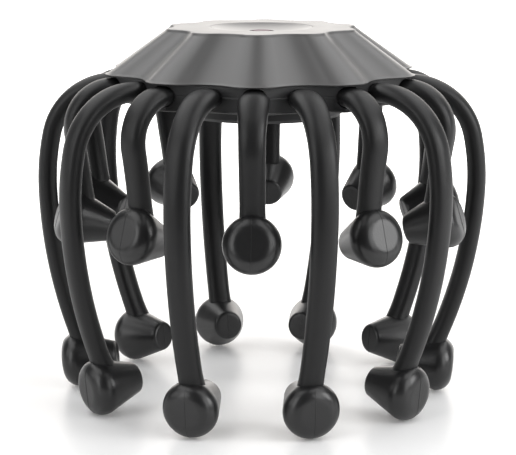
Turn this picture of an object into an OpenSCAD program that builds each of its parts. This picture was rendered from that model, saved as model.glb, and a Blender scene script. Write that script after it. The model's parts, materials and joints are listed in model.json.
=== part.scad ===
// Electric scalp massager: a fluted ten-sided hub with a vibration motor,
// carrying ten long and ten short flexible arms that end in cork-shaped heads.
// Origin: centre of the ring of arms, on the surface the long heads stand on.
// +Z up, -Y is the front short arm. Millimetres.

/* [Arms] */
// Width of an arm across its bending plane
arm_w = 10.2; // [8:0.1:11]
// Thickness of an arm in its bending plane
arm_t = 7.6; // [6.6:0.1:8]
// Radius at which the long arms are hinged on the hub
long_root_r = 57.7; // [57:0.1:59]
// Straight start of a long arm before its first bend
long_start = 1.7; // [0.5:0.1:4]
// Radius of the shoulder bend of a long arm
long_bend_r = 26; // [22:0.5:30]
// Angle of the shoulder bend of a long arm
long_bend_a = 78; // [74:1:82]
// Radius of the middle bend of a long arm
long_mid_r = 89; // [80:1:110]
// Angle of the middle bend of a long arm
long_mid_a = 15; // [12:1:18]
// Radius of the lower bend of a long arm
long_low_r = 179; // [160:1:200]
// Angle of the lower bend of a long arm
long_low_a = 21; // [17:1:23]
// Radius at which the short arms are hinged on the hub
short_root_r = 60.4; // [60:0.1:61.4]
// Radius of the shoulder bend of a short arm
short_bend_r = 16.1; // [14:0.1:19]
// Angle of the shoulder bend of a short arm
short_bend_a = 101; // [96:1:104]
// Radius of the reverse bend of a short arm
short_rev_r = 257; // [200:1:320]
// Angle of the reverse bend of a short arm
short_rev_a = 5.6; // [4:0.1:7]

/* [Massage heads] */
// Largest radius of a head
head_r = 11; // [10:0.1:12]
// Length of a head
head_len = 22.5; // [20:0.1:25]
// Fillet radius at the outer end of a head
head_outer_f = 5.9; // [4:0.1:7]
// Radius of a head at its inner end
head_inner_r = 6.3; // [5:0.1:7.5]
// Fillet radius at the inner end of a head
head_inner_f = 1.7; // [1:0.1:2.5]
// Distance from a head's outer end to the arm that enters it
head_seat_s = 8.4; // [7.5:0.1:9.5]
// Height of the arm's end above the head's axis
head_seat_u = 8; // [7:0.1:8.6]
// Tilt of a long arm's head, inner end up
long_head_tilt = 5.9; // [0:0.1:12]
// Tilt of a short arm's head, inner end down
short_head_tilt = 16.8; // [10:0.1:20]
// Radius of the peg that joins an arm to its head
peg_r = 2.4; // [1.8:0.1:3]
// Length of that peg
peg_len = 7; // [4:0.1:8]

/* [Cover] */
// Height of the fluted cover
cover_h = 17.7; // [17:0.1:20]
// Radius over the ridges at the cover's lower edge
cover_r = 63.4; // [62.6:0.1:64]
// Radius over the ridges at the cover's top
cover_top_r = 38; // [37:0.1:40]
// Radius at the middle of a flute at the lower edge
flute_r = 56.8; // [56.2:0.1:57.4]
// Radius of curvature of a flute, seen from above
flute_curve = 46; // [42:1:50]
// Wall of the cover, measured upright
cover_wall = 3; // [2.4:0.1:3.2]
// Rounding of the cover's top edge
rim_f = 1; // [0.5:0.1:1.5]

/* [Control panel] */
// Radius of the round panel in the cover's top
panel_r = 20.4; // [18:0.1:22]
// Depth of the panel's dish at its middle
dish_depth = 1.7; // [1:0.1:2]
// Thickness of the panel's flange at its edge
panel_flange = 2.2; // [2:0.1:2.3]
// Depth to which the panel reaches through the cover
panel_plug = 1.4; // [0.8:0.1:1.6]
// Radius of the power button
button_r = 3.7; // [3:0.1:4.2]
// Travel of the power button
button_travel = 0.7; // [0.4:0.1:0.8]
// Height by which the button stands out of the dish
button_proud = 0.5; // [0.3:0.1:0.8]
// Width of the light ring round the button
ring_w = 0.9; // [0.7:0.1:1.2]

/* [Housing] */
// Height of the clamp ring above the parting line
clamp_h = 4.6; // [4.5:0.1:5.2]
// Height of the lower housing below the parting line
housing_h = 5.6; // [5.5:0.1:6.5]
// Radius over the ridges of the clamp ring and lower housing
band_r = 60.3; // [59.9:0.1:60.6]
// Radius at the middle of a flute of the band
band_flute_r = 55.6; // [55.3:0.1:56]
// Radius of curvature of the band's flutes
band_curve = 60; // [58:1:64]
// Floor of the lower housing
floor_t = 2.4; // [2:0.1:2.6]
// Radius of the opening in the lower housing's floor
floor_open_r = 30; // [29.6:0.1:30.4]
// Height of the round base below the lower housing
base_h = 7; // [6.6:0.1:8]
// Radius of the round base
base_r = 32.6; // [32.2:0.1:34]
// Wall and floor of the base
base_wall = 2; // [1.6:0.1:2.2]
// Screw circle radius of the housing screws
screw_circle_r = 42; // [41.5:0.1:42.3]
// Screw circle radius of the base screws
base_circle_r = 24.5; // [24:0.1:25]
// Radius of a screw boss
boss_r = 3.4; // [3:0.1:3.5]

/* [Inside] */
// Radius of the motor can
motor_r = 6; // [5:0.1:6.2]
// Length of the motor can
motor_len = 20; // [16:0.5:21]
// Radius of the eccentric weight
weight_r = 5.6; // [4:0.1:5.8]
// Thickness of the eccentric weight
weight_t = 5; // [3:0.1:6]
// Length of the battery
battery_l = 44; // [38:0.5:45]
// Width of the battery
battery_w = 26; // [20:0.5:27]
// Thickness of the battery
battery_t = 6; // [4.5:0.1:6.2]
// Radius of the main circuit board
board_r = 27; // [25:0.1:29]
// Thickness of the circuit boards
board_t = 1.6; // [1:0.1:1.8]

/* [Clearances] */
// Gap between an arm's root and its socket
root_gap = 0.3; // [0.25:0.05:0.4]
// Gap round a fixed piece in its seat
fit_gap = 0.1; // [0.05:0.05:0.2]
// Running gap round the motor shaft
run_gap = 0.05; // [0.03:0.01:0.08]
// Largest outward swing of an arm
swing_out = 12; // [8:1:12]
// Largest inward swing of an arm
swing_in = 5; // [3:1:6]

/* [Hidden] */
$fn = 96;
e = 0.01;
pairs = 10;
step = 360 / pairs;

// ---- Arm centre lines, in the plane of one arm: [outward, up] from its root ----
function dir(a) = [cos(a), sin(a)];

long_p1 = [long_start, -long_bend_r] + long_bend_r * dir(90 - long_bend_a);
long_c2 = long_p1 - long_mid_r * dir(90 - long_bend_a);
long_p2 = long_c2 + long_mid_r * dir(90 - long_bend_a - long_mid_a);
long_c3 = long_p2 - long_low_r * dir(90 - long_bend_a - long_mid_a);
long_turn = long_bend_a + long_mid_a + long_low_a;
long_tip = long_c3 + long_low_r * dir(90 - long_turn);

short_p1 = [0, -short_bend_r] + short_bend_r * dir(90 - short_bend_a);
short_c2 = short_p1 + short_rev_r * dir(90 - short_bend_a);
short_turn = short_bend_a - short_rev_a;
short_tip = short_c2 - short_rev_r * dir(90 - short_turn);

// Outer end of a head whose seat lies at an arm's tip; tilt > 0 lifts the inner end
function head_end(tip, tilt) =
    tip - head_seat_s * [-cos(tilt), sin(tilt)] - head_seat_u * [sin(tilt), cos(tilt)];

// Lowest point of a long head below the root: the fillet circle of its outer end
long_end = head_end(long_tip, long_head_tilt);
long_low = long_end[1] + head_outer_f * sin(long_head_tilt)
    - (head_r - head_outer_f) * cos(long_head_tilt) - head_outer_f;

// ---- Heights ----
root_z = -long_low;
floor_z = root_z - housing_h;
base_z = floor_z - base_h;
cover_z = root_z + clamp_h;
top_z = cover_z + cover_h;
ceiling_z = top_z - cover_wall;
apex_h = cover_h * cover_r / (cover_r - cover_top_r);
flange_h = 2.5;
flute_over = 20;

// ---- Control panel ----
ledge_z = top_z - panel_flange - 0.2;
plug_z = ledge_z - panel_plug;
dish_low_z = top_z - 0.2 - dish_depth;
dish_sphere_r = (pow(panel_r, 2) + pow(dish_depth, 2)) / (2 * dish_depth);
ring_r = button_r + 0.15 + ring_w;
button_flange_r = button_r + 0.8;
button_flange_z = plug_z - 0.2;
button_foot_z = button_flange_z - 1.3;
switch_h = 2;
switch_z = button_foot_z - button_travel - 0.1 - switch_h;
board_z = switch_z - board_t;

// ---- Screws ----
screw_r = 1.3;
screw_len = 14;
screw_head_r = 2.4;
screw_head_h = 1.6;
counterbore = 2;
small_screw_r = 1;
small_screw_len = 4;
small_head_r = 2;
small_head_h = 1.4;
board_screw_r = 22;

// ---- Inside ----
chassis_z = floor_z + floor_t;
chassis_t = 1.6;
chassis_top = chassis_z + chassis_t;
chassis_r = screw_circle_r - boss_r - 1.4;
chassis_boss_h = 5.4;
motor_x = -15;
motor_z = chassis_top + weight_r + 0.9;
motor_cap = 1.6;
shaft_r = 0.75;
strap_t = 1.5;
strap_x = -8;
strap_w = 6;
strap_foot = motor_r + strap_t + 3;
base_floor_z = base_z + base_wall;
lip_wall = 2;
lip_h = 1.6;
cavity_r = floor_open_r - lip_wall;
base_chamfer = 1.2;
charge_board_t = 1;
charge_board_w = 14;
charge_board_l = 7.9;
charge_board_gap = 1.1;
charge_y = cavity_r - charge_board_gap - charge_board_l;
port_w = 9;
port_h = 3.2;
port_shell = 0.35;
port_room = 0.2;
port_inset = 0.8;
port_seat = 3.6;
port_y = cavity_r - port_seat;
port_len = base_r - port_inset - port_y;
port_z = base_floor_z + charge_board_t + port_h / 2;
wire_r = 0.6;
battery_wire = [battery_l / 2 - 1.5, 1.6];
charge_wire = [4.5, charge_y + 2.5];
motor_wire_x = [motor_x + 2, motor_x + 5];

// ---- Roots and sockets ----
tongue_t = 4.4;
tongue_w = 6;
bead_r = 2.4;
bead_w = 8;
bead_x = -8;

// =================== Arms and heads ===================

// Cross-section of an arm: x in the bending plane, y across it
module arm_section(g = 0) {
    square([arm_t + 2 * g, arm_w - arm_t], center = true);
    for (s = [-1, 1])
        translate([0, s * (arm_w - arm_t) / 2]) circle(r = arm_t / 2 + g, $fn = 32);
}

// One bend of an arm about a centre in its plane, from an angle over a sweep
module bend(c, r, from, sweep)
    translate([c[0], 0, c[1]]) rotate([90, 0, 0]) rotate([0, 0, from])
        rotate_extrude(angle = sweep, $fn = 120) translate([r, 0]) arm_section();

// Rounded end of an arm, and of its socket, turned about the hinge axis
module knuckle(g = 0, sweep = 180)
    rotate([90, 0, 0]) rotate([0, 0, 90]) rotate_extrude(angle = sweep, $fn = 48)
        intersection() {
            arm_section(g);
            translate([0, -arm_w]) square(2 * arm_w);
        }

// Thin band over the meeting of two lengths of an arm
module seam(p, turn)
    translate([p[0], 0, p[1]]) rotate([0, 90 + turn, 0])
        linear_extrude(0.5, center = true) arm_section(0.02);

// Root that the hub holds: knuckle, tongue and bead
module arm_root() {
    knuckle();
    seam([0, 0], 0);
    translate([bead_x, -tongue_w / 2, -tongue_t / 2]) cube([-bead_x - 1, tongue_w, tongue_t]);
    translate([bead_x, 0, 0]) rotate([90, 0, 0]) cylinder(h = bead_w, r = bead_r, center = true);
}

// Peg at an arm's tip, or the bore for it in a head
module tip_peg(tip, turn, g = 0)
    translate([tip[0], 0, tip[1]]) rotate([0, 90 + turn, 0]) translate([0, 0, -1])
        cylinder(h = peg_len + 1 + g, r = peg_r + g, $fn = 48);

// Recess in a head for the end of an arm
module tip_seat(tip, turn)
    translate([tip[0], 0, tip[1]]) rotate([0, 90 + turn, 0]) translate([0, 0, -head_r])
        linear_extrude(head_r) arm_section(fit_gap);

module long_arm_shape() {
    arm_root();
    rotate([0, 90, 0]) linear_extrude(long_start) arm_section();
    seam([long_start, 0], 0);
    bend([long_start, -long_bend_r], long_bend_r, 90 - long_bend_a, long_bend_a);
    seam(long_p1, long_bend_a);
    bend(long_c2, long_mid_r, 90 - long_bend_a - long_mid_a, long_mid_a);
    seam(long_p2, long_bend_a + long_mid_a);
    bend(long_c3, long_low_r, 90 - long_turn, long_low_a);
    tip_peg(long_tip, long_turn);
}

module short_arm_shape() {
    arm_root();
    bend([0, -short_bend_r], short_bend_r, 90 - short_bend_a, short_bend_a);
    seam(short_p1, short_bend_a);
    bend(short_c2, short_rev_r, 270 - short_bend_a, short_rev_a);
    tip_peg(short_tip, short_turn);
}

// Cork-shaped body of a head, outer end at 0, inner end at head_len
module cork() {
    a = [head_r - head_outer_f, head_outer_f];
    b = [head_inner_r - head_inner_f, head_len - head_inner_f];
    d = b - a;
    // direction of the common tangent's normal
    n = atan2(d[1], d[0]) - acos((head_outer_f - head_inner_f) / norm(d));
    rotate_extrude() intersection() {
        union() {
            polygon([
                [0, 0], [a[0], 0], a + head_outer_f * dir(n),
                b + head_inner_f * dir(n), [b[0], head_len], [0, head_len]
            ]);
            translate(a) circle(r = head_outer_f);
            translate(b) circle(r = head_inner_f);
        }
        square([2 * head_r, head_len]);
    }
}

module head_shape(tip, turn, tilt) {
    end = head_end(tip, tilt);
    difference() {
        translate([end[0], 0, end[1]]) rotate([0, tilt - 90, 0]) cork();
        tip_seat(tip, turn);
        tip_peg(tip, turn, fit_gap);
    }
}

// Places for the long arms and the short arms: number 1 is at or next to the front
module at_long(i) rotate([0, 0, -90 + step * (i - 0.5)]) translate([long_root_r, 0, root_z]) children();
module at_short(i) rotate([0, 0, -90 + step * (i - 1)]) translate([short_root_r, 0, root_z]) children();

module long_arm(i) color("#1d1d1f") at_long(i) long_arm_shape();
module short_arm(i) color("#1d1d1f") at_short(i) short_arm_shape();
module long_head(i) color("#242426") at_long(i) head_shape(long_tip, long_turn, long_head_tilt);
module short_head(i) color("#242426") at_short(i) head_shape(short_tip, short_turn, -short_head_tilt);

// =================== Hub ===================

// Cutter for one flute: a round bar laid along the flute's middle line, placed from
// the cover's virtual apex
module flute_cutter() {
    fall = atan2(apex_h, flute_r);
    bar_r = flute_curve / sin(fall);
    slant = norm([cover_r - cover_top_r, cover_h]);
    translate([flute_r, 0, -apex_h]) rotate([0, fall - 90, 0]) translate([bar_r, 0, -flute_over])
        cylinder(h = slant + 2 * flute_over, r = bar_r, $fn = 180);
}

// Ten-sided fluted solid of the cover
module fluted_body() difference() {
    translate([0, 0, cover_z]) rotate_extrude($fn = 180) {
        polygon([
            [0, 0], [cover_r, 0], [cover_top_r + rim_f * (cover_r - cover_top_r) / cover_h, cover_h - rim_f],
            [cover_top_r - 0.4 * rim_f, cover_h], [0, cover_h]
        ]);
    }
    for (k = [0 : pairs - 1]) rotate([0, 0, -90 + step * (k + 0.5)])
        translate([0, 0, cover_z + apex_h]) flute_cutter();
}

// Plan of the clamp ring and the lower housing
module band_plan() difference() {
    circle(r = band_r, $fn = 180);
    for (k = [0 : pairs - 1]) rotate(-90 + step * (k + 0.5))
        translate([band_flute_r + band_curve, 0]) circle(r = band_curve, $fn = 180);
}

// Room in the hub for the arm roots to swing in
module socket_cut() {
    drop = -bead_x * sin(swing_out) + bead_r + root_gap;
    rise = -bead_x * sin(swing_in) + bead_r + root_gap;
    knuckle(root_gap, 360);
    translate([bead_x, 0, 0]) {
        translate([-bead_r - root_gap, -bead_w / 2 - root_gap, -drop])
            cube([2 * bead_r + 2 * root_gap, bead_w + 2 * root_gap, drop + rise]);
        translate([0, -tongue_w / 2 - root_gap, -drop + 0.7])
            cube([-bead_x - arm_t / 3, tongue_w + 2 * root_gap, drop + rise - 1.2]);
    }
}

module sockets() for (i = [1 : pairs]) {
    at_long(i) socket_cut();
    at_short(i) socket_cut();
}

// Places of the housing screws, under every other ridge, and of the base screws
module at_housing_screws() for (k = [0 : 4]) rotate([0, 0, -90 + 2 * step * k])
    translate([screw_circle_r, 0, 0]) children();
module at_base_screws() for (k = [0 : 3]) rotate([0, 0, 45 + 90 * k])
    translate([base_circle_r, 0, 0]) children();
module at_board_screws() for (k = [0 : 2]) rotate([0, 0, 90 + 120 * k])
    translate([board_screw_r, 0, 0]) children();

module top_cover() color("#3a3a3d") difference() {
    union() {
        difference() {
            fluted_body();
            translate([0, 0, -cover_wall]) fluted_body();
        }
        // screw bosses down to the clamp ring's flange, ending within the cover's wall
        intersection() {
            at_housing_screws() translate([0, 0, root_z]) cylinder(h = clamp_h + cover_h, r = boss_r);
            translate([0, 0, flange_h - clamp_h]) fluted_body();
        }
        at_board_screws() translate([0, 0, board_z + board_t])
            cylinder(h = ceiling_z - board_z - board_t + e, r = 2.8);
    }
    translate([0, 0, ledge_z]) cylinder(h = 10, r = panel_r + fit_gap);
    translate([0, 0, ceiling_z - 1]) cylinder(h = 10, r = panel_r - 3.5);
    at_housing_screws() translate([0, 0, root_z])
        cylinder(h = screw_len - housing_h + counterbore + 1, r = screw_r + run_gap, $fn = 32);
    at_board_screws() translate([0, 0, board_z])
        cylinder(h = small_screw_len + 0.4, r = small_screw_r + run_gap, $fn = 32);
}

module control_panel() color("#2e2e31") difference() {
    union() {
        translate([0, 0, ledge_z]) cylinder(h = panel_flange, r = panel_r);
        translate([0, 0, plug_z]) cylinder(h = panel_plug + e, r = panel_r - 3.5 - fit_gap);
    }
    translate([0, 0, dish_low_z + dish_sphere_r]) sphere(r = dish_sphere_r, $fn = 180);
    translate([0, 0, plug_z - 1]) cylinder(h = 10, r = ring_r + fit_gap);
    translate([0, 0, plug_z - e]) cylinder(h = 0.8 + fit_gap, r = ring_r + 0.8 + fit_gap);
}

module light_ring() color("#101012") difference() {
    union() {
        translate([0, 0, plug_z]) cylinder(h = dish_low_z - plug_z + 0.3, r = ring_r);
        translate([0, 0, plug_z]) cylinder(h = 0.8, r = ring_r + 0.8);
    }
    translate([0, 0, plug_z - 1]) cylinder(h = 10, r = button_r + 0.15);
}

module power_button() color("#4a4048") {
    translate([0, 0, button_flange_z - 0.8])
        cylinder(h = dish_low_z + button_proud - button_flange_z + 0.8, r = button_r);
    translate([0, 0, button_flange_z - 0.8]) cylinder(h = 0.8, r = button_flange_r);
    translate([0, 0, button_foot_z]) cylinder(h = 1, r = 1.6);
}

module tact_switch() color("#b8b8bc") translate([-3, -3, switch_z]) cube([6, 6, switch_h]);

module circuit_board() color("#1f5a34") {
    difference() {
        translate([0, 0, board_z]) cylinder(h = board_t, r = board_r);
        at_board_screws() translate([0, 0, board_z - 1])
            cylinder(h = board_t + 2, r = small_screw_r + fit_gap, $fn = 32);
    }
    // controller, charger and drive transistor on the upper face
    translate([-15, -4, board_z + board_t - e]) cube([7, 7, 1.2]);
    translate([8, -10, board_z + board_t - e]) cube([5, 4, 1.4]);
    translate([10, 4, board_z + board_t - e]) cube([4, 6, 1.2]);
}

module arm_clamp_ring() color("#303033") difference() {
    union() {
        difference() {
            translate([0, 0, root_z]) linear_extrude(clamp_h) band_plan();
            translate([0, 0, root_z + flange_h])
                cylinder(h = clamp_h, r = screw_circle_r + boss_r + 0.6);
        }
    }
    translate([0, 0, root_z - 1]) cylinder(h = clamp_h + 2, r = screw_circle_r - boss_r - 0.6);
    sockets();
    at_housing_screws() translate([0, 0, root_z - 1])
        cylinder(h = flange_h + 2, r = screw_r + fit_gap, $fn = 32);
}

module lower_housing() color("#303033") difference() {
    union() {
        difference() {
            translate([0, 0, floor_z]) linear_extrude(housing_h) band_plan();
            translate([0, 0, chassis_z]) cylinder(h = housing_h, r = screw_circle_r + boss_r + 0.6);
        }
        at_housing_screws() translate([0, 0, floor_z]) cylinder(h = housing_h, r = boss_r);
    }
    translate([0, 0, floor_z - 1]) cylinder(h = housing_h + 2, r = floor_open_r);
    sockets();
    at_housing_screws() {
        translate([0, 0, floor_z - 1]) cylinder(h = housing_h + 2, r = screw_r + fit_gap, $fn = 32);
        translate([0, 0, floor_z - e]) cylinder(h = counterbore + e, r = screw_head_r + 0.3, $fn = 48);
    }
}

module base_cover() color("#303033") difference() {
    union() {
        difference() {
            union() {
                translate([0, 0, base_z]) rotate_extrude($fn = 180) {
                    polygon([
                        [0, 0], [base_r - base_chamfer, 0], [base_r, base_chamfer], [base_r, base_h], [0, base_h]
                    ]);
                }
                // lip that centres the base in the housing's opening
                translate([0, 0, floor_z - e]) cylinder(h = lip_h, r = floor_open_r - 2 * fit_gap);
            }
            translate([0, 0, base_floor_z]) cylinder(h = base_h + lip_h, r = cavity_r);
        }
        at_base_screws() translate([0, 0, base_z]) cylinder(h = chassis_z - base_z, r = boss_r);
    }
    at_base_screws() {
        translate([0, 0, base_z - 1]) cylinder(h = base_h + 8, r = screw_r + fit_gap, $fn = 32);
        translate([0, 0, base_z - e]) cylinder(h = counterbore + e, r = screw_head_r + 0.3, $fn = 48);
    }
    port_shape(2 * port_inset, port_room);
}

// Outline of the charging port run through the rear wall, grown by a gap
module port_shape(len, g)
    translate([0, port_y, port_z]) rotate([-90, 0, 0]) linear_extrude(port_len + len)
        for (s = [-1, 1]) {
            translate([s * (port_w - port_h) / 2, 0]) circle(r = port_h / 2 + g, $fn = 32);
            square([port_w - port_h, port_h + 2 * g], center = true);
        }

module chassis() color("#5a5a5e") difference() {
    union() {
        translate([0, 0, chassis_z]) cylinder(h = chassis_t, r = chassis_r);
        at_base_screws() translate([0, 0, chassis_top - e]) cylinder(h = chassis_boss_h, r = boss_r - 0.2);
        // cradles under the motor
        for (x = [motor_x + 2, motor_x + motor_len - 5.5])
            translate([x, -motor_r - 1.5, chassis_top - e])
                cube([3.5, 2 * motor_r + 3, motor_z - chassis_top]);
    }
    translate([motor_x - 5, 0, motor_z]) rotate([0, 90, 0])
        cylinder(h = motor_len + 10, r = motor_r + run_gap);
    at_base_screws() translate([0, 0, chassis_z - 1])
        cylinder(h = chassis_boss_h + 6, r = screw_r + run_gap, $fn = 32);
    for (s = [-1, 1]) {
        translate([strap_x + strap_w / 2, s * strap_foot, chassis_z - 1])
            cylinder(h = 6, r = small_screw_r + run_gap, $fn = 32);
        translate([battery_wire[0], s * battery_wire[1], chassis_z - 1])
            cylinder(h = 6, r = wire_r + 0.3, $fn = 24);
        translate([s * charge_wire[0], charge_wire[1], chassis_z - 1])
            cylinder(h = 6, r = wire_r + 0.3, $fn = 24);
    }
}

module motor_can() color("#a8aaad") translate([motor_x, 0, motor_z]) rotate([0, 90, 0]) difference() {
    cylinder(h = motor_len, r = motor_r);
    translate([0, 0, motor_cap]) cylinder(h = motor_len - 2 * motor_cap, r = motor_r - 1.4);
    translate([0, 0, -1]) cylinder(h = motor_len + 2, r = shaft_r + run_gap, $fn = 48);
}

module motor_rotor() color("#8c8f94") translate([motor_x, 0, motor_z]) rotate([0, 90, 0]) {
    translate([0, 0, 0.6]) cylinder(h = motor_len + weight_t + 2, r = shaft_r, $fn = 48);
    translate([0, 0, motor_cap + 1.2]) cylinder(h = motor_len - 2 * motor_cap - 2.4, r = motor_r - 2.4);
}

module eccentric_weight() color("#b79a55")
    translate([motor_x + motor_len + 1.8, 0, motor_z]) rotate([0, 90, 0]) difference() {
        union() {
            intersection() {
                cylinder(h = weight_t, r = weight_r);
                translate([-0.2, -weight_r, 0]) cube([weight_r + 1, 2 * weight_r, weight_t]);
            }
            cylinder(h = weight_t, r = 2);
        }
        translate([0, 0, -1]) cylinder(h = weight_t + 2, r = shaft_r + 0.03, $fn = 48);
    }

module motor_strap() color("#5a5a5e") difference() {
    union() {
        translate([strap_x, 0, motor_z]) rotate([0, 90, 0]) cylinder(h = strap_w, r = motor_r + strap_t);
        translate([strap_x, -motor_r - strap_t, chassis_top])
            cube([strap_w, 2 * (motor_r + strap_t), motor_z - chassis_top]);
        translate([strap_x, -strap_foot - 2.5, chassis_top]) cube([strap_w, 2 * strap_foot + 5, strap_t]);
    }
    translate([strap_x - 1, 0, motor_z]) rotate([0, 90, 0]) cylinder(h = strap_w + 2, r = motor_r + run_gap);
    translate([strap_x - 1, -motor_r - run_gap, chassis_top - 1])
        cube([strap_w + 2, 2 * (motor_r + run_gap), motor_z - chassis_top + 1]);
    for (s = [-1, 1]) translate([strap_x + strap_w / 2, s * strap_foot, chassis_top - 1])
        cylinder(h = 6, r = small_screw_r + fit_gap, $fn = 32);
}

module battery() color("#6f7f8f") translate([0, 0, base_floor_z]) linear_extrude(battery_t) {
    square([battery_l - 2, battery_w], center = true);
    square([battery_l, battery_w - 2], center = true);
    for (x = [-1, 1], y = [-1, 1])
        translate([x * (battery_l / 2 - 1), y * (battery_w / 2 - 1)]) circle(r = 1, $fn = 24);
}

module charge_board() color("#1f5a34")
    translate([-charge_board_w / 2, charge_y, base_floor_z])
        cube([charge_board_w, charge_board_l, charge_board_t]);

module charge_port() color("#c4c6ca") difference() {
    port_shape(0, 0);
    translate([0, 1, 0]) port_shape(1, -port_shell);
}

// One case screw: underside of its head at 0, shank up
module case_screw() {
    cylinder(h = screw_len, r = screw_r, $fn = 32);
    translate([0, 0, -screw_head_h]) difference() {
        cylinder(h = screw_head_h, r = screw_head_r, $fn = 48);
        translate([0, 0, -1]) cylinder(h = 1.9, r = 1.1, $fn = 6);
    }
}

module case_screws() color("#8c8f94") {
    at_housing_screws() translate([0, 0, floor_z + counterbore]) case_screw();
    at_base_screws() translate([0, 0, base_z + counterbore]) case_screw();
}

// One small screw: underside of its head at 0, shank up
module small_screw() {
    cylinder(h = small_screw_len, r = small_screw_r, $fn = 32);
    translate([0, 0, -small_head_h]) cylinder(h = small_head_h, r = small_head_r, $fn = 32);
}

module inner_screws() color("#8c8f94") {
    at_board_screws() translate([0, 0, board_z]) small_screw();
    for (s = [-1, 1]) translate([strap_x + strap_w / 2, s * strap_foot, chassis_top + strap_t])
        rotate([180, 0, 0]) small_screw();
}

module wire(x, y, from, to) translate([x, y, from]) cylinder(h = to - from, r = wire_r, $fn = 24);

module leads() color("#8a2a22") for (s = [-1, 1]) {
    wire(battery_wire[0], s * battery_wire[1], base_floor_z + battery_t, board_z);
    wire(s * charge_wire[0], charge_wire[1], base_floor_z + charge_board_t, board_z);
    wire(motor_wire_x[(s + 1) / 2], 0, motor_z + motor_r, board_z);
}

// =================== Nodes ===================

top_cover();
control_panel();
light_ring();
power_button();
tact_switch();
circuit_board();
arm_clamp_ring();
lower_housing();
base_cover();
chassis();
motor_can();
motor_rotor();
eccentric_weight();
motor_strap();
battery();
charge_board();
charge_port();
case_screws();
inner_screws();
leads();

function two(i) = i < 10 ? str("0", i) : str(i);
for (i = [1 : pairs]) {
    long_arm(i);
    long_head(i);
    short_arm(i);
    short_head(i);
}
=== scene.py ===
import bpy, bmesh, json, math
import numpy as np
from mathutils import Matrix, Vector


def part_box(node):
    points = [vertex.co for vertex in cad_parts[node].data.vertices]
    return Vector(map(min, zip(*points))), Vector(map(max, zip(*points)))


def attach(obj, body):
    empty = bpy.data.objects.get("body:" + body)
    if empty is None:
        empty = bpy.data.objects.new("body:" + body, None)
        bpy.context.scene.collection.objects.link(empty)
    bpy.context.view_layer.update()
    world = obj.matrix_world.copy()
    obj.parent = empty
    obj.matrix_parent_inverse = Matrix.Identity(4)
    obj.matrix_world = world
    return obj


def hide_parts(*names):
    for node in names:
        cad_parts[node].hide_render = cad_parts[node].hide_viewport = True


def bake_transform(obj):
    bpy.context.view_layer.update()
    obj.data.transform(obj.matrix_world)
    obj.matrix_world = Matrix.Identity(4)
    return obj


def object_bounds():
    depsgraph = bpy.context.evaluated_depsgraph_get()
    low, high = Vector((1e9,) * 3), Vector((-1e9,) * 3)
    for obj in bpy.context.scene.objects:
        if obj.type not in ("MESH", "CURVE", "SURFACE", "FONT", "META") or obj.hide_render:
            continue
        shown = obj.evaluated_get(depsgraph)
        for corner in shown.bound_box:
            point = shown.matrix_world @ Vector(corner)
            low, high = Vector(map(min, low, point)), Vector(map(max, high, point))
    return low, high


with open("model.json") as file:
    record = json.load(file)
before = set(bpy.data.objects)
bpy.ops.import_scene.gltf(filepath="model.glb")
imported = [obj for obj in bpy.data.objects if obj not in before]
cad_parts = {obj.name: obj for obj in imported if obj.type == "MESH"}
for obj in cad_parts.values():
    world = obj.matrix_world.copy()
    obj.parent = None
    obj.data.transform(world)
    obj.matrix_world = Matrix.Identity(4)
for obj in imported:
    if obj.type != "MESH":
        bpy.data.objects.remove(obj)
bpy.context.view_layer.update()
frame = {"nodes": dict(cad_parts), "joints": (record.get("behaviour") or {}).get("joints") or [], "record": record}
cad = frame["nodes"]


# ------------------------------------------------------------------ sizes
# Millimetres and degrees. The arms' lines, the heads and the band's outline have the values of the
# part's source.
MM = 0.001
PAIRS = 10
STEP = 360 / PAIRS
FRONT = -90  # the camera's side of the part, where a short arm stands

# root: radius of the hinge; bends: (radius, angle) in turn, a negative radius bending back
LONG = dict(root=57.7, start=1.7, bends=[(26, 78), (89, 15), (179, 21)], tilt=5.9)
SHORT = dict(root=60.4, start=0.0, bends=[(16.1, 101), (-257, 5.6)], tilt=-16.8)
# half sizes of an arm's section; it is broader below the root and flares into the head
ARM = dict(wide_root=5.36, wide_tip=4.72, thick=3.76, flare=0.35, flare_len=8.0,
           broad=0.55, broad_rise=3.0, broad_end=7.0, broad_fade=14.0)
# the rounding of an arm's lower end: (inset, how far past the tip)
TIP_ROUND = ((0.12, 0.3), (0.4, 0.6), (0.9, 0.8))
TONGUE = dict(low=(-8.0, -3.0, -2.2), high=(-2.4, 3.0, 2.2))
BEAD = dict(back=8.0, radius=2.4, half=4.0, chamfer=0.4)
# how far the soft arms lean as they stand: the shift of their heads along X and Y
LEAN = dict(
    long_arm_01=(-0.7, -1.0), long_arm_02=(-0.6, -1.0), long_arm_03=(-0.6, 0.0),
    long_arm_04=(-1.2, 0.0), long_arm_05=(-2.6, 0.0), long_arm_06=(0.5, -0.5),
    long_arm_07=(2.3, 0.0), long_arm_08=(-3.0, 0.0), long_arm_09=(-2.4, 0.6),
    long_arm_10=(-0.8, -1.6), short_arm_05=(0.8, 0.0), short_arm_07=(2.0, 0.0),
)

# a head, from its broad outer end to its narrow inner end, and the arm's seat in it
HEAD = dict(radius=11.0, length=22.5, outer_round=5.9, inner_radius=6.3, inner_round=1.7,
            seat_in=8.4, seat_up=8.0)
# the mould seam over its ends, and how many points of its profile the seam follows at each
SEAM = dict(half=0.20, height=0.12, shoulder=0.8, sunk=0.15, outer_points=18, inner_points=13)

JOINTS = {joint["name"]: joint for joint in frame["joints"]}
ROOT_Z = JOINTS["short_arm_10_flex"]["pos_m"][2] / MM  # all the arms are hinged at this height
TOP_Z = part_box("top_cover")[1].z / MM
BAND_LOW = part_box("lower_housing")[0].z / MM
BOARD_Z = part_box("circuit_board")[0].z / MM
BOARD_T = 1.6

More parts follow.
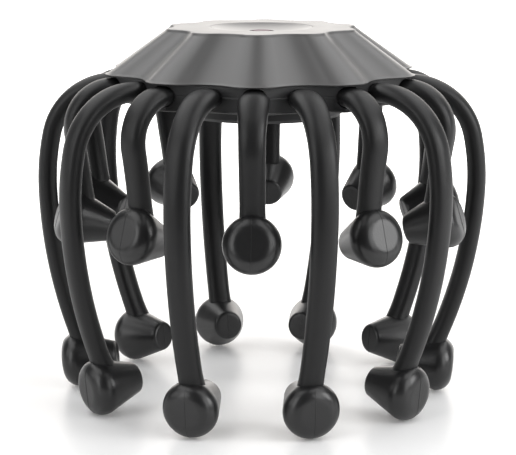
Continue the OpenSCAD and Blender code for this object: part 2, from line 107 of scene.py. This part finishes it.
# the cover at its hem and at its top: radius over a ridge and over a flute, rounding of the ridges
COVER_LOW = ROOT_Z + 4.6
COVER = dict(ridge=(63.4, 37.95), flute=(56.8, 34.2), rounding=(12.5, 7.5))
# its rounded hem, from inside to outside: (share of the outline, rise)
HEM = ((0.958, 0.05), (0.972, 0.0), (0.990, 0.02), (0.9965, 0.16), (0.9995, 0.5))
# its upper edge: where the round starts on the slope, its radius and first angle, and the rim inside it
RIM = dict(share=0.955, round=1.25, slope=35, mid_r=36.0, inset=0.972, to_hole=0.66)
# its inner face: scale of the outline, how far it lies below the slope, and its rows up the slope
INNER_FACE = dict(scale=0.955, drop=1.0, rows=(0.9, 0.6, 0.3, 0.06))
CEILING = 3.0
CEILING_R = 30.0
PANEL_HOLE = 20.44
HOLE_CHAMFER = (0.11, 0.06)
PANEL_SEAT = 17.0
LEDGE = 2.4
PANEL = dict(outer=20.4, depth=1.7, sunk=0.2, rim=0.05, flange=2.2, plug=1.4, step=3.6, bore=4.85,
             upturn=0.15, chamfer=(0.12, 0.1))
BAND = dict(ridge=60.3, flute=55.6, hollow=60.0)
# rounded edges of the band: radius, and how far out and up their middle lies
LOWER_EDGE = dict(radius=0.42, out=-0.22, up=0.35)
LIP = dict(radius=0.36, out=-0.1, up=0.25)
LIP_SPAN = (5.6, 12.4)  # from the arm before it
# what hangs from the cover's ceiling: screw bosses and board posts, each on a circle about the axis
SCREW_BOSS = dict(circle=42.0, count=5, first=FRONT, radius=3.4, low=ROOT_Z + 2.5, high=COVER_LOW + 10.5)
BOARD_POST = dict(circle=22.0, count=3, first=90, radius=2.8, low=BOARD_Z + BOARD_T,
                  high=TOP_Z - CEILING + 0.1)
BOSS_BORE = 1.4
BOSS_CHAMFER = 0.2


def heading(angle):
    """The direction at an angle, in a plane."""
    a = math.radians(angle)
    return np.array([math.cos(a), math.sin(a)])


def circle_angles(count):
    return np.linspace(0, 2 * math.pi, count, endpoint=False)


def smooth(q):
    """An eased rise from 0 to 1."""
    q = min(1.0, max(0.0, q))
    return q * q * (3 - 2 * q)


# ------------------------------------------------------------------ materials
def new_material(name):
    material = bpy.data.materials.new(name)
    material.use_nodes = True
    tree = material.node_tree
    tree.nodes.clear()
    return material, tree, tree.nodes.new("ShaderNodeOutputMaterial")


def add_node(tree, kind, **values):
    """A shader node with some of its inputs set, by name."""
    node = tree.nodes.new(kind)
    for key, value in values.items():
        node.inputs[key.replace("_", " ")].default_value = value
    return node


def moulded(name, colour, rough, metallic=0.0, spec=0.5, rough_var=0.05, shade_var=0.08,
            grain=900.0, grain_depth=0.02, cloud=60.0):
    """A moulded or machined surface: soft clouding of its colour and roughness, and a fine grain."""
    material, tree, output = new_material(name)
    link = tree.links.new
    surface = add_node(tree, "ShaderNodeBsdfPrincipled", Metallic=metallic, Specular_IOR_Level=spec)
    place = add_node(tree, "ShaderNodeTexCoord")
    clouds = add_node(tree, "ShaderNodeTexNoise", Scale=cloud, Detail=3.0)
    link(place.outputs["Object"], clouds.inputs["Vector"])
    polish = add_node(tree, "ShaderNodeMapRange", From_Min=0.3, From_Max=0.7,
                      To_Min=rough - rough_var, To_Max=rough + rough_var)
    link(clouds.outputs["Fac"], polish.inputs["Value"])
    link(polish.outputs["Result"], surface.inputs["Roughness"])
    shade = tree.nodes.new("ShaderNodeMix")
    shade.data_type = "RGBA"
    middle = np.array(colour, float)
    shade.inputs["A"].default_value = (*(middle * (1 - shade_var)), 1)
    shade.inputs["B"].default_value = (*(middle * (1 + shade_var)), 1)
    link(clouds.outputs["Fac"], shade.inputs["Factor"])
    link(shade.outputs["Result"], surface.inputs["Base Color"])
    fine = add_node(tree, "ShaderNodeTexNoise", Scale=grain, Detail=2.0)
    link(place.outputs["Object"], fine.inputs["Vector"])
    bump = add_node(tree, "ShaderNodeBump", Strength=grain_depth, Distance=MM)
    link(fine.outputs["Fac"], bump.inputs["Height"])
    link(bump.outputs["Normal"], surface.inputs["Normal"])
    link(surface.outputs["BSDF"], output.inputs["Surface"])
    return material


LOOKS = dict(
    arm_silicone=dict(colour=(0.0068, 0.0068, 0.0072), rough=0.43, spec=0.34, rough_var=0.02,
                      grain=1500, grain_depth=0.05),
    head_silicone=dict(colour=(0.0105, 0.0105, 0.0109), rough=0.31, rough_var=0.015,
                       grain=1500, grain_depth=0.05),
    cover_plastic=dict(colour=(0.075, 0.074, 0.074), rough=0.34, rough_var=0.02, shade_var=0.03,
                       grain=2200, grain_depth=0.012),
    panel_plastic=dict(colour=(0.050, 0.050, 0.052), rough=0.31, rough_var=0.01, shade_var=0.03,
                       grain=2200, grain_depth=0.005),
    # ring_lens: painted shade. The ring's very dark colour and low specular stand in for the shadow of a recessed
    # groove round the button.
    ring_lens=dict(colour=(0.010, 0.008, 0.009), rough=0.45, spec=0.04, grain=800, grain_depth=0.005),
    button_plastic=dict(colour=(0.17, 0.115, 0.13), rough=0.5, spec=0.12, grain=1800, grain_depth=0.01),
    housing_plastic=dict(colour=(0.022, 0.022, 0.023), rough=0.40, grain=2000, grain_depth=0.05),
    inner_plastic=dict(colour=(0.10, 0.10, 0.105), rough=0.5, grain=1500, grain_depth=0.06),
    switch_metal=dict(colour=(0.5, 0.5, 0.52), rough=0.35, metallic=1.0, grain=1200, grain_depth=0.03),
    board=dict(colour=(0.02, 0.09, 0.04), rough=0.35, grain=1200, grain_depth=0.04),
    motor_steel=dict(colour=(0.55, 0.55, 0.57), rough=0.3, metallic=1.0, grain=1600, grain_depth=0.04),
    rotor_steel=dict(colour=(0.4, 0.4, 0.42), rough=0.35, metallic=1.0, grain=1600, grain_depth=0.04),
    weight_brass=dict(colour=(0.6, 0.47, 0.22), rough=0.45, metallic=1.0, grain=1400, grain_depth=0.08),
    battery_film=dict(colour=(0.2, 0.28, 0.38), rough=0.25, grain=500, grain_depth=0.05, cloud=25),
    port_metal=dict(colour=(0.75, 0.75, 0.77), rough=0.18, metallic=1.0, grain=1600, grain_depth=0.02),
    screw_steel=dict(colour=(0.35, 0.35, 0.37), rough=0.3, metallic=1.0, grain=1600, grain_depth=0.05),
    wire=dict(colour=(0.4, 0.04, 0.03), rough=0.4, grain=1200, grain_depth=0.04),
)
MATERIALS = {name: moulded(name, **look) for name, look in LOOKS.items()}


def dress(obj, name):
    obj.data.materials.clear()
    obj.data.materials.append(MATERIALS[name])


for sub in frame["record"]["subparts"]:
    dress(cad[sub["node"]], sub["material_slot"])


# ------------------------------------------------------------------ mesh helpers
def new_mesh(name, shape, material, flat_angle=40.0):
    """An object from (points in mm, faces), smooth but for edges sharper than flat_angle."""
    points, faces = shape
    mesh = bpy.data.meshes.new(name)
    mesh.from_pydata([tuple(p) for p in np.asarray(points) * MM], [], [tuple(f) for f in faces])
    edit = bmesh.new()
    edit.from_mesh(mesh)
    bmesh.ops.remove_doubles(edit, verts=edit.verts, dist=1e-6)
    bmesh.ops.recalc_face_normals(edit, faces=edit.faces)
    edit.to_mesh(mesh)
    edit.free()
    mesh.update()
    obj = bpy.data.objects.new(name, mesh)
    bpy.context.scene.collection.objects.link(obj)
    mesh.shade_smooth()
    mesh.set_sharp_from_angle(angle=math.radians(flat_angle))
    dress(obj, material)
    return obj


def joined(*shapes):
    """Several (points, faces) shapes as one."""
    points, faces = np.zeros((0, 3)), []
    for more, polygons in shapes:
        faces += [tuple(len(points) + i for i in polygon) for polygon in polygons]
        points = np.concatenate([points, more])
    return points, faces


def loft(rings, close_ends=True):
    """Rings of points, all the same length, joined into a tube."""
    count = len(rings[0])
    faces = []
    for row in range(len(rings) - 1):
        for i in range(count):
            j = (i + 1) % count
            faces.append((row * count + i, row * count + j, (row + 1) * count + j, (row + 1) * count + i))
    if close_ends:
        faces.append(tuple(range(count - 1, -1, -1)))
        faces.append(tuple(range((len(rings) - 1) * count, len(rings) * count)))
    return np.concatenate([np.asarray(ring) for ring in rings]), faces


def revolve(profile, count=96):
    """(radius, height) points about Z; a point on the axis becomes one vertex."""
    points, rows = [], []
    for r, z in profile:
        if r < 1e-6:
            rows.append([len(points)] * count)
            points.append((0, 0, z))
        else:
            rows.append(list(range(len(points), len(points) + count)))
            points += [(r * math.cos(2 * math.pi * i / count), r * math.sin(2 * math.pi * i / count), z)
                       for i in range(count)]
    faces = []
    for low, high in zip(rows, rows[1:]):
        for i in range(count):
            j = (i + 1) % count
            corners = [low[i], low[j], high[j], high[i]]
            corners = [c for k, c in enumerate(corners) if c != corners[k - 1]]
            if len(corners) > 2:
                faces.append(tuple(corners))
    return np.array(points), faces


def box(low, high):
    points = [(x, y, z) for x in (low[0], high[0]) for y in (low[1], high[1]) for z in (low[2], high[2])]
    faces = [(0, 1, 3, 2), (4, 6, 7, 5), (0, 4, 5, 1), (2, 3, 7, 6), (0, 2, 6, 4), (1, 5, 7, 3)]
    return np.array(points), faces


def turned(points, azimuth):
    """Points turned about Z."""
    c, s = heading(azimuth)
    return np.asarray(points) @ np.array([[c, -s, 0], [s, c, 0], [0, 0, 1]]).T


# ------------------------------------------------------------------ arms
def centre_line(spec, pitch=1.1):
    """Points (outward, up) and turn angles along an arm, from its root to its tip."""
    points, turns = [np.array([0.0, 0.0])], [0.0]
    start = np.array([spec["start"], 0.0])
    turn = 0.0
    if spec["start"] > 0:
        points.append(start)
        turns.append(0.0)
    for radius, angle in spec["bends"]:
        count = max(4, math.ceil(abs(radius) * math.radians(angle) / pitch))
        way = math.copysign(1, radius)
        centre = start - radius * heading(90 - turn)
        for i in range(1, count + 1):
            turns.append(turn + way * angle * i / count)
            points.append(centre + radius * heading(90 - turns[-1]))
        start, turn = points[-1], turns[-1]
    return np.array(points), np.array(turns)


def section(wide, thick, power=2.3, count=64):
    """A rounded oval, a little fuller than an ellipse."""
    c, s = np.cos(circle_angles(count)), np.sin(circle_angles(count))
    return np.stack([np.sign(c) * np.abs(c) ** (2 / power) * wide,
                     np.sign(s) * np.abs(s) ** (2 / power) * thick], 1)


def arm_rings(spec):
    """Sections of an arm from its rounded root to its tip, in the arm's own plane."""
    line, turns = centre_line(spec)
    run = np.concatenate([[0], np.cumsum(np.linalg.norm(np.diff(line, axis=0), axis=1))])
    wide, thick = ARM["wide_root"], ARM["thick"]
    rings = []
    # rounded root inside its pocket
    for k in range(7):
        angle = math.radians(90 * k / 7)
        shrink = max(0.05, math.sin(angle))
        oval = section(wide - thick * (1 - shrink), thick * shrink)
        rings.append(np.stack([np.full(len(oval), -thick * math.cos(angle)), oval[:, 0], oval[:, 1]], 1))
    for point, turn, out in zip(line, turns, run):
        flare = ARM["flare"] * max(0.0, 1 - (run[-1] - out) / ARM["flare_len"]) ** 2
        fade = smooth((out - ARM["broad_end"]) / ARM["broad_fade"])
        broad = ARM["broad"] * smooth(out / ARM["broad_rise"]) * (1 - fade)
        taper = (ARM["wide_tip"] - wide) * out / run[-1]
        oval = section(wide + taper + flare + broad, thick + flare)
        up = heading(90 - turn)
        rings.append(np.stack([point[0] + oval[:, 1] * up[0], oval[:, 0], point[1] + oval[:, 1] * up[1]], 1))
    # softly rounded lower end, in the head's seat
    ahead = np.insert(heading(-turns[-1]), 1, 0.0)
    last = rings[-1]
    middle = last.mean(axis=0)
    for inset, forward in TIP_ROUND:
        rings.append(middle + (last - middle) * (1 - inset / thick) + ahead * forward)
    return rings, line[-1]


def bead():
    """The crosswise bead behind the root, round which the arm is clamped in the hub."""
    r, half = BEAD["radius"], BEAD["half"]
    small, inner = r - BEAD["chamfer"], half - BEAD["chamfer"]
    return loft([[(-BEAD["back"] + radius * math.cos(q), y, radius * math.sin(q)) for q in circle_angles(32)]
                 for y, radius in ((-half, small), (-inner, r), (inner, r), (half, small))])


def arm_shape(spec):
    """An arm with its tongue and bead, and the place of its tip."""
    rings, tip = arm_rings(spec)
    return joined(loft(rings), box(**TONGUE), bead()), tip


# ------------------------------------------------------------------ heads
def cork_profile():
    """(radius, distance from the outer end) of a head."""
    big, small = HEAD["outer_round"], HEAD["inner_round"]
    outer = np.array([HEAD["radius"] - big, big])
    inner = np.array([HEAD["inner_radius"] - small, HEAD["length"] - small])
    between = inner - outer
    # the angle at which the straight side touches both rounds
    touch = math.degrees(math.atan2(between[1], between[0])
                         - math.acos((big - small) / np.linalg.norm(between)))
    points = [np.array([outer[0] * share, 0.0]) for share in (0.0, 0.4, 0.75)]
    points += [outer + big * heading(-90 + (touch + 90) * i / 18) for i in range(19)]
    start, end = points[-1], inner + small * heading(touch)
    points += [start + (end - start) * i / 10 for i in range(1, 10)]
    points += [inner + small * heading(touch + (90 - touch) * i / 9) for i in range(10)]
    points += [np.array([inner[0] * share, HEAD["length"]]) for share in (0.6, 0.3, 0.0)]
    return points


def mould_seam(half_line, side):
    """A fine raised line over one end of a head, in the arm's plane."""
    line = np.array([(-p[0], p[1]) for p in half_line[:0:-1]] + [(p[0], p[1]) for p in half_line])
    rings = []
    for i, (across, along) in enumerate(line):
        run = line[min(i + 1, len(line) - 1)] - line[max(i - 1, 0)]
        out = np.array([run[1], -run[0]]) / np.linalg.norm(run) * side
        fade = math.sin(math.pi * (i + 0.5) / len(line)) ** 0.5
        half, height = SEAM["half"] * fade, SEAM["height"] * fade
        shoulder = height * SEAM["shoulder"]
        rings.append([(across + out[0] * rise, y, along + out[1] * rise)
                      for y, rise in ((-half, -SEAM["sunk"]), (-half / 2, shoulder), (0, height),
                                      (half / 2, shoulder), (half, -SEAM["sunk"]))])
    points, faces = loft(rings)
    return points, [face if side > 0 else face[::-1] for face in faces]


def head_shape(tip, tilt):
    """A head on the tip of its arm; its profile runs inwards along the head."""
    profile = cork_profile()
    points, faces = joined(revolve(profile, 112),
                           mould_seam(profile[:SEAM["outer_points"]], 1.0),
                           mould_seam(profile[::-1][:SEAM["inner_points"]], -1.0))
    c, s = heading(tilt)
    inward, upward, across = np.array([-c, 0, s]), np.array([s, 0, c]), np.array([0, 1, 0])
    end = np.array([tip[0], 0, tip[1]]) - HEAD["seat_in"] * inward - HEAD["seat_up"] * upward
    return end + points[:, 0:1] * upward + points[:, 1:2] * across + points[:, 2:3] * inward, faces


def arm_and_head(kind, spec, azimuth, number, arm, head, tip):
    """One arm and its head, set on the hub and left to lean."""
    body = f"{kind}_arm_{number:02d}"
    place = np.array([spec["root"], 0, ROOT_Z])
    lean = np.array([*LEAN.get(body, (0.0, 0.0)), 0.0])
    leaning = np.clip(arm[0][:, 2:3] / tip[1], 0, 1) ** 2
    soft_arm = new_mesh(f"soft_{body}", (turned(arm[0] + place, azimuth) + leaning * lean, arm[1]),
                        "arm_silicone")
    soft_head = new_mesh(f"soft_{kind}_head_{number:02d}", (turned(head[0] + place, azimuth) + lean, head[1]),
                         "head_silicone")
    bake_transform(soft_arm)
    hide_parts(body)
    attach(soft_head, body)
    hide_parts(f"{kind}_head_{number:02d}")


for kind, spec, offset in (("long", LONG, -0.5), ("short", SHORT, -1.0)):
    arm, tip = arm_shape(spec)
    head = head_shape(tip, spec["tilt"])
    for number in range(1, PAIRS + 1):
        arm_and_head(kind, spec, FRONT + STEP * (number + offset), number, arm, head, tip)


# ------------------------------------------------------------------ cover
def ridge_plan(ridge, flute, rounding, count=26):
    """Plan of a ten-sided ring with rounded ridges and hollow flutes; a ridge lies at the front."""
    half_step = STEP / 2
    middle = ridge - rounding
    c = heading(half_step)[0]
    hollow = ((flute ** 2 - rounding ** 2 + middle ** 2 - 2 * flute * middle * c)
              / (2 * (middle * c - (flute - rounding))))
    centre = (flute + hollow) * heading(half_step)
    touch = math.atan2(centre[1], centre[0] - middle)
    # half of one ridge, then half of one flute, evenly along the angle about the axis
    radii = []
    for i in range(count):
        out = heading(half_step * i / (count - 1))
        along = out[0] * middle
        square = along ** 2 - middle ** 2 + rounding ** 2
        radius = along + math.sqrt(max(0.0, square))
        x, y = radius * out
        if square < 0 or math.atan2(y, x - middle) > touch + 1e-9:
            along = out @ centre
            radius = along - math.sqrt(max(0.0, along ** 2 - centre @ centre + hollow ** 2))
        radii.append(radius)
    one = radii + radii[-2:0:-1]
    return np.array([radius * heading(FRONT + STEP * (k + i / len(one)))
                     for k in range(PAIRS) for i, radius in enumerate(one)])


def cover_plan(share):
    """Outline of the cover at a share of the way up its slope."""
    return ridge_plan(*(low + (high - low) * share for low, high in COVER.values()))


def fluted_cover():
    height = TOP_Z - COVER_LOW
    hem = cover_plan(0)
    around = np.arctan2(hem[:, 1], hem[:, 0])
    rings = []

    def ring(plan, z):
        rings.append(np.column_stack([plan, np.full(len(plan), z)]))

    def circle(radius):
        return np.column_stack([np.cos(around), np.sin(around)]) * radius

    # inner face, from the panel's hole down to the hem
    ring(circle(PANEL_SEAT), TOP_Z - CEILING)
    ring(circle(CEILING_R), TOP_Z - CEILING)
    for share in INNER_FACE["rows"]:
        ring(cover_plan(share) * INNER_FACE["scale"], COVER_LOW + height * share - INNER_FACE["drop"])
    for scale, rise in HEM:
        ring(hem * scale, COVER_LOW + rise)
    for share in np.linspace(0.04, 0.93, 24):
        ring(cover_plan(share), COVER_LOW + height * share)
    # rounded upper edge and flat rim
    edge = cover_plan(RIM["share"])
    ring(edge, COVER_LOW + height * RIM["share"])
    for q in (0.2, 0.4, 0.6, 0.8, 1.0):
        c, s = heading(RIM["slope"] + (90 - RIM["slope"]) * q)
        inset = RIM["round"] * (heading(RIM["slope"])[0] - c)
        ring(edge * (1 - inset / RIM["mid_r"]), TOP_Z - RIM["round"] * (1 - s))
    for share in (0.06, 0.25, 0.5, 0.75, 0.93):
        ring(edge * RIM["inset"] * (1 - share) + circle(PANEL_HOLE + RIM["to_hole"]) * share, TOP_Z)
    # hole and ledge for the panel
    wide, deep = HOLE_CHAMFER
    ring(circle(PANEL_HOLE + wide), TOP_Z)
    ring(circle(PANEL_HOLE), TOP_Z - deep)
    ring(circle(PANEL_HOLE), TOP_Z - LEDGE)
    ring(circle(PANEL_SEAT), TOP_Z - LEDGE)
    ring(circle(PANEL_SEAT), TOP_Z - CEILING)
    return new_mesh("fluted_cover", loft(rings, close_ends=False), "cover_plastic", 50)


def cover_bosses():
    """The cover's screw bosses and board posts, which hang from its ceiling."""
    tubes = []
    for post in (SCREW_BOSS, BOARD_POST):
        radius, low, high = post["radius"], post["low"], post["high"]
        outline = ((BOSS_BORE, low), (radius - BOSS_CHAMFER, low), (radius, low + BOSS_CHAMFER),
                   (radius, high), (BOSS_BORE, high), (BOSS_BORE, low))
        for k in range(post["count"]):
            x, y = post["circle"] * heading(post["first"] + k * 360 / post["count"])
            tubes.append(loft([[(x + r * math.cos(q), y + r * math.sin(q), z) for q in circle_angles(40)]
                               for r, z in outline], close_ends=False))
    return new_mesh("cover_bosses", joined(*tubes), "cover_plastic")


def dished_panel():
    """Control panel, hollowed like a shallow dish, with its plug through the cover."""
    outer, depth, rim, bore = PANEL["outer"], PANEL["depth"], PANEL["rim"], PANEL["bore"]
    ball = (outer ** 2 + depth ** 2) / (2 * depth)
    face = TOP_Z - PANEL["sunk"]
    low = face - depth + (PANEL["sunk"] - rim) / 2
    ledge = face - PANEL["flange"]
    step = outer - PANEL["step"]
    wide, deep = PANEL["chamfer"]

    def dish_height(r):
        height = low + ball - math.sqrt(ball ** 2 - r ** 2) + PANEL["upturn"] * (r / outer) ** 4
        return min(height, TOP_Z - rim)

    dish = [(r, dish_height(r)) for r in np.linspace(bore + wide, outer - wide, 40)]
    foot = (bore, ledge - PANEL["plug"])
    profile = [foot, (bore, dish[0][1] - deep), *dish, (outer, TOP_Z - rim - deep), (outer, ledge),
               (step, ledge), (step, foot[1]), foot]
    return new_mesh("dished_panel", revolve(profile, 160), "panel_plastic")


cover = fluted_cover()
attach(cover, "hub")
panel = dished_panel()
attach(panel, "hub")
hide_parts("control_panel")


# ------------------------------------------------------------------ band edges
def band_radius(azimuth):
    """Outline of the clamp ring and the lower housing: round ridges cut by hollow flutes."""
    off = math.radians((azimuth - FRONT) % STEP - STEP / 2)
    middle = BAND["flute"] + BAND["hollow"]
    inside = BAND["hollow"] ** 2 - (middle * math.sin(off)) ** 2
    return min(BAND["ridge"], middle * math.cos(off) - math.sqrt(inside))


def band_edge(name, z, edge, azimuths, material="housing_plastic", whole=False):
    """A round moulded edge that follows the band's outline."""
    rings = []
    for azimuth in azimuths:
        middle = band_radius(azimuth) + edge["out"]
        rings.append([(*(heading(azimuth) * (middle + edge["radius"] * math.cos(q))),
                       z + edge["up"] + edge["radius"] * math.sin(q)) for q in circle_angles(14)])
    if whole:
        rings.append(rings[0])
    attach(new_mesh(name, loft(rings, close_ends=not whole), material), "hub")


band_edge("band_lower_edge", BAND_LOW, LOWER_EDGE, FRONT + np.arange(360), "cover_plastic", whole=True)
for number in range(1, 2 * PAIRS + 1):
    arm_azimuth = FRONT + STEP / 2 * (number - 1)
    band_edge(f"clamp_lip_{number:02d}", ROOT_Z, LIP, arm_azimuth + np.linspace(*LIP_SPAN, 12))

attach(cover_bosses(), "hub")
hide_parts("top_cover")


# ------------------------------------------------------------------ camera
# Metres and degrees; the focal length is in pixels of the photograph.
PHOTO_WIDTH_PX = 516
FOCAL_PX = 1867.45
CAMERA_PLACE = (0.03387, -0.74579, 0.21098)
CAMERA_TILT = 79.09  # from straight down
CAMERA_TURN = 2.71

lens = bpy.data.cameras.new("camera")
lens.sensor_width = 36
lens.lens = FOCAL_PX * lens.sensor_width / PHOTO_WIDTH_PX
lens.clip_end = 20
camera = bpy.data.objects.new("camera", lens)
bpy.context.scene.collection.objects.link(camera)
camera.location = CAMERA_PLACE
camera.rotation_euler = (math.radians(CAMERA_TILT), 0, math.radians(CAMERA_TURN))
bpy.context.scene.camera = camera


# ------------------------------------------------------------------ studio
# Metres and watts.
def softbox(name, where, aim, size, power, tint=(1.0, 1.0, 1.0)):
    light = bpy.data.lights.new(name, "AREA")
    light.shape = "RECTANGLE"
    light.size, light.size_y = size
    light.energy = power
    light.color = tint
    lamp = bpy.data.objects.new(name, light)
    bpy.context.scene.collection.objects.link(lamp)
    lamp.location = where
    lamp.rotation_euler = (Vector(aim) - Vector(where)).to_track_quat("-Z", "Y").to_euler()


# the two overhead boxes leave a dark gap between them, which the cover mirrors
for name, x, side_power in (("left", -1.0, 1.1), ("right", 1.0, 4.6)):
    softbox(f"top_{name}", (0.72 * x, 0.25, 1.2), (0.72 * x, 0.25, 0.0), (1.04, 2.0), 13.8)
    softbox(f"side_{name}", (0.88 * x, -0.28, 0.42), (0, -0.05, 0.10), (0.4, 0.5), side_power)
    softbox(f"strip_{name}", (0.72 * x, -0.78, 0.44), (0, -0.05, 0.10), (0.42, 0.8), 3.5)
softbox("back", (0.0, 1.7, 0.42), (0, 0, 0.14), (2.2, 0.7), 8.6, (1.0, 0.94, 0.88))


def any_ray(tree, *kinds):
    """1 for rays of any of these kinds, else 0."""
    path = tree.nodes.new("ShaderNodeLightPath")
    seen = path.outputs[kinds[0]]
    for kind in kinds[1:]:
        either = tree.nodes.new("ShaderNodeMath")
        either.operation = "MAXIMUM"
        tree.links.new(seen, either.inputs[0])
        tree.links.new(path.outputs[kind], either.inputs[1])
        seen = either.outputs["Value"]
    return seen


def mixed(tree, factor, first, second):
    mix = tree.nodes.new("ShaderNodeMixShader")
    for socket, value in zip(mix.inputs, (factor, first, second)):
        tree.links.new(value, socket)
    return mix.outputs["Shader"]


def eased(tree, value, **ends):
    """A value carried smoothly from one range to another."""
    ease = add_node(tree, "ShaderNodeMapRange", **ends)
    ease.interpolation_type = "SMOOTHSTEP"
    tree.links.new(value, ease.inputs["Value"])
    return ease.outputs["Result"]


def studio_world():
    """White to look at; in reflections a white sweep behind and above, and a dark room in front."""
    world = bpy.data.worlds.new("studio")
    bpy.context.scene.world = world
    world.use_nodes = True
    tree = world.node_tree
    tree.nodes.clear()
    output = tree.nodes.new("ShaderNodeOutputWorld")
    white = add_node(tree, "ShaderNodeBackground", Strength=1.0)
    sweep = add_node(tree, "ShaderNodeBackground", Strength=1.0)
    soft = add_node(tree, "ShaderNodeBackground", Strength=0.12)
    toward = tree.nodes.new("ShaderNodeVectorMath")
    toward.operation = "DOT_PRODUCT"
    toward.inputs[1].default_value = (0.0, -0.866, 0.5)
    direction = tree.nodes.new("ShaderNodeTexCoord")
    tree.links.new(direction.outputs["Generated"], toward.inputs[0])
    shade = eased(tree, toward.outputs["Value"], From_Min=-0.75, From_Max=0.0, To_Min=1.0, To_Max=0.05)
    tree.links.new(shade, sweep.inputs["Color"])
    room = mixed(tree, any_ray(tree, "Is Glossy Ray"), soft.outputs["Background"],
                 sweep.outputs["Background"])
    seen = any_ray(tree, "Is Camera Ray", "Is Transmission Ray")
    tree.links.new(mixed(tree, seen, room, white.outputs["Background"]), output.inputs["Surface"])


def floor_white():
    """A pale floor that takes the shadow and brightens into the white sweep away from the part."""
    material, tree, output = new_material("floor_white")
    pale = add_node(tree, "ShaderNodeBsdfPrincipled", Base_Color=(0.86, 0.86, 0.86, 1),
                    Roughness=0.35, Specular_IOR_Level=0.3)
    glow = tree.nodes.new("ShaderNodeEmission")
    away = tree.nodes.new("ShaderNodeVectorMath")
    away.operation = "LENGTH"
    place = tree.nodes.new("ShaderNodeTexCoord")
    tree.links.new(place.outputs["Object"], away.inputs[0])
    strength = eased(tree, away.outputs["Value"], From_Min=0.12, From_Max=0.75, To_Min=0.08, To_Max=1.0)
    tree.links.new(strength, glow.inputs["Strength"])
    both = tree.nodes.new("ShaderNodeAddShader")
    tree.links.new(pale.outputs["BSDF"], both.inputs[0])
    tree.links.new(glow.outputs["Emission"], both.inputs[1])
    seen = any_ray(tree, "Is Camera Ray", "Is Glossy Ray", "Is Transmission Ray")
    front = mixed(tree, seen, pale.outputs["BSDF"], both.outputs["Shader"])
    # nothing is drawn of it from below, so that the underside can be looked at
    side = tree.nodes.new("ShaderNodeNewGeometry")
    clear = tree.nodes.new("ShaderNodeBsdfTransparent")
    whole = mixed(tree, side.outputs["Backfacing"], front, clear.outputs["BSDF"])
    tree.links.new(whole, output.inputs["Surface"])
    return material


def studio_floor(half_width=3, near=-0.32, far=4, gap=0.0002):
    mesh = bpy.data.meshes.new("floor")
    mesh.from_pydata([(-half_width, near, 0), (half_width, near, 0), (half_width, far, 0),
                      (-half_width, far, 0)], [], [(0, 1, 2, 3)])
    mesh.materials.append(floor_white())
    floor = bpy.data.objects.new("floor", mesh)
    bpy.context.scene.collection.objects.link(floor)
    floor.location.z = min(0.0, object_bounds()[0][2]) - gap


studio_world()
studio_floor()
bpy.context.scene.view_settings.view_transform = "Standard"
